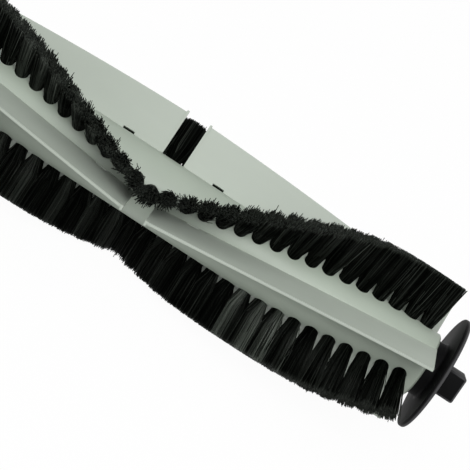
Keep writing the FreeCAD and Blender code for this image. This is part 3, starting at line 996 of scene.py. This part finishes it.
@dataclass
class EndCaps:
    """Black end caps: hair guard, hub and spigot, with a drive stub or a pin bore."""

    half_core: float
    disc_radius: float = 15.0 * MM
    disc_thickness: float = 1.3 * MM
    rim_round: float = 0.45 * MM
    hub_radius: float = 7.2 * MM
    hub_length: float = 2.8 * MM
    hub_fillet: float = 0.8 * MM
    spigot_size: float = 4.6 * MM
    spigot_length: float = 11.0 * MM
    stub_size: float = 7.0 * MM
    stub_length: float = 6.4 * MM
    stub_turn: float = 50.2
    stub_edge: float = 0.6 * MM
    stub_edge_steps: int = 4
    # Share of the stub's rounding that gets the painted edge highlight
    highlight_reach: float = 0.8
    bore_radius: float = 1.51 * MM
    bore_overrun: float = 2
    bore_sides: int = 48
    bead_sides: int = 6

    @property
    def face(self) -> float:
        """Distance of the disc's outer face from the core's end."""
        return self.hub_length + self.disc_thickness

    def arc(self, centre: Point, radius: float, start: float, end: float) -> list[Point]:
        """Give points along an arc, its angles in degrees from the axis towards the rim."""
        turns = np.radians(np.linspace(start, end, self.bead_sides + 1))
        return [(centre[0] + radius * math.cos(turn), centre[1] + radius * math.sin(turn)) for turn in turns]

    def build_guard(self, name: str) -> bpy.types.Object:
        """Build hub and hair guard with rounded rim and filleted hub.

        Args:
            name: Name of the piece.

        Returns:
            The guard, its own +X out of the core's end from the origin.
        """
        inner, outer = self.hub_length, self.face
        corner = (inner - self.hub_fillet, self.hub_radius + self.hub_fillet)
        rim = self.disc_radius - self.rim_round
        profile = [(0, 0), (0, self.hub_radius)] + self.arc(corner, self.hub_fillet, 270, 360)
        profile += self.arc((inner + self.rim_round, rim), self.rim_round, 180, 90)
        profile += self.arc((outer - self.rim_round, rim), self.rim_round, 90, 0)
        profile += [(outer, 0)]
        return spun(name, profile)

    def build_square(self, size: float, start: float, end: float, turn: float) -> bpy.types.Object:
        """Build a square bar along the axis.

        Args:
            size: Width across its flats.
            start: Its inner end along the axis.
            end: Its outer end along the axis.
            turn: Its turn about the axis in degrees.

        Returns:
            The bar, at the origin.
        """
        middle = Matrix.Translation(AXIS * ((start + end) / 2))
        return square_block("bar", (end - start, size, size), middle @ about_axis(turn))

    def mark_highlight_edges(self, cap: bpy.types.Object) -> None:
        """Mark the outer edge of the rim and the stub's rounded edges, which get a painted highlight."""
        outer = self.face
        points = np.array([vertex.co for vertex in cap.data.vertices])
        rim = np.hypot(points[:, 1], points[:, 2]) > self.disc_radius - self.rim_round / 2
        rim &= points[:, 0] > outer - self.rim_round
        square = np.abs(points @ np.array(about_axis(self.stub_turn).to_3x3()))
        depth = np.stack([outer + self.stub_length - points[:, 0], self.stub_size / 2 - square[:, 1],
                          self.stub_size / 2 - square[:, 2]])
        stub = np.sort(depth, axis=0)[1] < self.highlight_reach * self.stub_edge
        stub &= points[:, 0] > outer + self.stub_edge
        edge = cap.data.attributes.new(HIGHLIGHT_EDGE_ATTRIBUTE, "FLOAT", "POINT")
        edge.data.foreach_set("value", (rim | stub).astype(np.float32))

    def build(self, palette: Palette) -> None:
        """Build and dress both end caps."""
        outer = self.face
        drive = self.build_guard("drive_cap_moulding")
        stub = self.build_square(self.stub_size, outer - self.disc_thickness / 2, outer + self.stub_length,
                                 self.stub_turn)
        soften(stub, self.stub_edge, self.stub_edge_steps)
        join_on(drive, stub)
        spigot = self.build_square(self.spigot_size, -self.spigot_length, self.hub_length / 2, 0)
        idle_spigot = placed_copy(spigot, "idle_spigot", Matrix.Identity(4))
        join_on(drive, spigot)
        self.mark_highlight_edges(drive)
        drive.data.transform(end_frame(Half.DRIVE, self.half_core))
        smooth(drive)
        palette.dress(drive, Slot.CAP, Body.ROLLER, "drive_end_cap")

        idle = self.build_guard("idle_cap_moulding")
        join_on(idle, idle_spigot)
        low, high = -self.bore_overrun * self.spigot_length, self.bore_overrun * outer
        bore = spun("pin_bore", [(low, 0), (low, self.bore_radius), (high, self.bore_radius), (high, 0)],
                    self.bore_sides)
        cut_away(idle, bore)
        self.mark_highlight_edges(idle)
        idle.data.transform(end_frame(Half.IDLE, self.half_core))
        smooth(idle)
        palette.dress(idle, Slot.CAP, Body.ROLLER, "idle_end_cap")


@dataclass
class IdleBearing:
    """Axle pin, washer, bush and bearing cap at the idle end."""

    half_core: float
    face: float = 4.1 * MM
    pin_radius: float = 1.5 * MM
    pin_tail: float = 11.0 * MM
    head_radius: float = 2.5 * MM
    head_height: float = 0.8 * MM
    washer_radius: float = 3.6 * MM
    washer_thickness: float = 0.5 * MM
    float_gap: float = 0.1 * MM
    bush_radius: float = 3.0 * MM
    bush_length: float = 4.5 * MM
    cap_radius: float = 5.0 * MM
    cap_length: float = 5.8 * MM
    cap_chamfer: float = 0.6 * MM
    recess_radius: float = 2.8 * MM
    running_gap: float = 0.03 * MM
    edge: float = 0.12 * MM
    sides: int = 96

    def finish(self, palette: Palette, name: str, profile: Sequence[Point], slot: Slot, body: Body,
               node: str) -> None:
        """Turn one piece, soften its edges, face it out of the idle end and dress it.

        Args:
            palette: The finishes.
            name: Name of the piece.
            profile: Corners as distance from the core's end and radius.
            slot: Material slot of the record.
            body: Body that it rides on.
            node: Node of the solids that it stands for.
        """
        piece = spun(name, profile, self.sides)
        soften(piece, self.edge)
        piece.data.transform(end_frame(Half.IDLE, self.half_core))
        smooth(piece)
        palette.dress(piece, slot, body, node)

    def build(self, palette: Palette) -> None:
        """Build and dress the bearing's pieces."""
        washer_end = self.face + self.washer_thickness
        start = washer_end + self.float_gap
        bush_end, end = start + self.bush_length, start + self.cap_length
        head = bush_end + self.float_gap
        bore = self.pin_radius + self.running_gap
        self.finish(palette, "pin_turned", [
            (-self.pin_tail, 0), (-self.pin_tail, self.pin_radius), (head, self.pin_radius),
            (head, self.head_radius), (head + self.head_height, self.head_radius),
            (head + self.head_height, 0),
        ], Slot.PIN, Body.ROLLER, "axle_pin")
        self.finish(palette, "washer_ring", [
            (self.face, bore), (self.face, self.washer_radius), (washer_end, self.washer_radius),
            (washer_end, bore),
        ], Slot.WASHER, Body.ROLLER, "thrust_washer")
        self.finish(palette, "bush_ring", [
            (start, bore), (start, self.bush_radius), (bush_end, self.bush_radius), (bush_end, bore),
        ], Slot.BUSH, Body.BEARING, "sleeve_bush")
        self.finish(palette, "bearing_housing", [
            (start, self.bush_radius), (start, self.cap_radius), (end - self.cap_chamfer, self.cap_radius),
            (end, self.cap_radius - self.cap_chamfer), (end, self.recess_radius),
            (bush_end, self.recess_radius), (bush_end, self.bush_radius),
        ], Slot.CAP, Body.BEARING, "bearing_cap")


# Studio


@dataclass(frozen=True)
class Lamp:
    """Square soft lamp that faces the brush."""

    name: str
    place: tuple[float, float, float]
    size: float
    power: float

    def build(self) -> None:
        """Add the lamp to the scene."""
        data = bpy.data.lights.new(self.name, "AREA")
        data.size = self.size
        data.energy = self.power
        lamp = bpy.data.objects.new(self.name, data)
        lamp.location = self.place
        lamp.rotation_euler = (-Vector(self.place)).to_track_quat("-Z", "Y").to_euler()
        bpy.context.scene.collection.objects.link(lamp)


@dataclass
class Studio:
    """White floor, soft lights and the camera."""

    elevation: float = 48.84
    along: float = 12.67 * MM
    distance: float = 409.6 * MM
    rise: float = -0.53 * MM
    yaw: float = 1.328
    pitch: float = 0.304
    roll: float = 33.134
    focus_pixels: float = 1722.2
    photo_pixels: int = 470
    sensor: float = 36
    clip: tuple[float, float] = (0.01, 20)
    floor_size: float = 6.0
    floor_cells: int = 4
    floor_grey: Colour = (0.8, 0.8, 0.8)
    world_strength: float = 0.36
    floor_glow: float = 0.96
    lamps: tuple[Lamp, ...] = (
        Lamp("key", (0.1, -0.3, 0.62), 0.35, 3.5),
        Lamp("top", (-0.1, 0.15, 0.7), 0.5, 1.0),
    )

    def set_camera(self) -> None:
        """Set the camera at the photograph's viewing angle."""
        tilt = math.radians(self.elevation)
        back = Vector((0, -math.cos(tilt), math.sin(tilt)))
        up = Vector((0, math.sin(tilt), math.cos(tilt)))
        ahead, right = -back, AXIS.copy()
        place = AXIS * self.along + back * self.distance + up * self.rise
        ahead, right = swung(ahead, right, self.yaw)
        ahead, up = swung(ahead, up, self.pitch)
        right, up = swung(right, up, self.roll)
        data = bpy.data.cameras.new("camera")
        data.lens = self.focus_pixels * self.sensor / self.photo_pixels
        data.clip_start, data.clip_end = self.clip
        camera = bpy.data.objects.new("camera", data)
        bpy.context.scene.collection.objects.link(camera)
        frame_of_view = Matrix((right, up, -ahead)).transposed().to_4x4()
        camera.matrix_world = Matrix.Translation(place) @ frame_of_view
        bpy.context.scene.camera = camera

    def set_world(self) -> None:
        """Light evenly from all round, white where the camera sees it."""
        world = bpy.data.worlds.new("studio")
        world.use_nodes = True
        bpy.context.scene.world = world
        tree = world.node_tree
        light = tree.nodes["Background"]
        light.inputs["Color"].default_value = rgba(WHITE)
        strength = add_node(tree, "MapRange", {"Value": self.seen_rays(tree), "To Min": self.world_strength,
                                               "To Max": 1.0})
        connect(tree, light.inputs["Strength"], strength.outputs["Result"])

    def seen_rays(self, tree: bpy.types.NodeTree) -> bpy.types.NodeSocket:
        """Give 1 on rays that show the background: to the camera, in a gloss or through glass."""
        rays = add_node(tree, "LightPath")
        glossy = add_node(tree, "Math", {0: rays.outputs["Is Camera Ray"], 1: rays.outputs["Is Glossy Ray"]},
                          operation="MAXIMUM")
        every = add_node(tree, "Math", {0: glossy.outputs[0], 1: rays.outputs["Is Transmission Ray"]},
                         operation="MAXIMUM")
        return every.outputs[0]

    def lay_floor(self, level: float) -> None:
        """Lay a white floor that keeps a soft shadow.

        Args:
            level: Height of the floor.
        """
        deselect()
        bpy.ops.mesh.primitive_grid_add(x_subdivisions=self.floor_cells, y_subdivisions=self.floor_cells,
                                        size=self.floor_size)
        floor = bpy.context.object
        floor.name = "floor"
        floor.data.transform(Matrix.Translation((0, 0, level)))
        material = bpy.data.materials.new("floor_white")
        material.use_nodes = True
        tree = material.node_tree
        tree.nodes.clear()
        matte = add_node(tree, "BsdfDiffuse", {"Color": rgba(self.floor_grey)})
        bright = add_node(tree, "Emission", {"Color": rgba(WHITE), "Strength": 1.0})
        share = add_node(tree, "Math", {0: self.seen_rays(tree), 1: self.floor_glow}, operation="MULTIPLY")
        mix = add_node(tree, "MixShader", {"Fac": share.outputs[0]})
        tree.links.new(matte.outputs[0], mix.inputs[1])
        tree.links.new(bright.outputs[0], mix.inputs[2])
        leave = add_node(tree, "OutputMaterial")
        tree.links.new(mix.outputs[0], leave.inputs["Surface"])
        floor.data.materials.append(material)

    def build(self, level: float) -> None:
        """Set up floor, lights and camera."""
        self.lay_floor(level)
        self.set_world()
        for lamp in self.lamps:
            lamp.build()
        self.set_camera()
        bpy.context.scene.view_settings.view_transform = "Standard"


def main() -> None:
    """Build every piece of the brush, then the studio."""
    logging.basicConfig(level=logging.INFO, format="%(name)s: %(message)s")
    _, core_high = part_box("core")
    core_radius, half_core = core_high.y, core_high.x
    palette = Palette().mix()
    rows = BristleRows(core_radius)
    rows.build(palette)
    blades = Blades(core_radius, half_core, rows.row_start + BLADE_LAG)
    strips = blades.build(palette)
    Core(core_radius, half_core).build(palette, rows.places(), strips)
    for strip in strips:
        modify(strip, "WEIGHTED_NORMAL", keep_sharp=True)
    EndCaps(half_core).build(palette)
    IdleBearing(half_core).build(palette)
    for name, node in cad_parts.items():
        if name.startswith(ANCHOR_NODES):
            node.material_slots[0].material = palette.materials[Slot.ANCHOR]
    Studio().build(CAD_BOX[0].z)


if __name__ == "__main__":
    main()
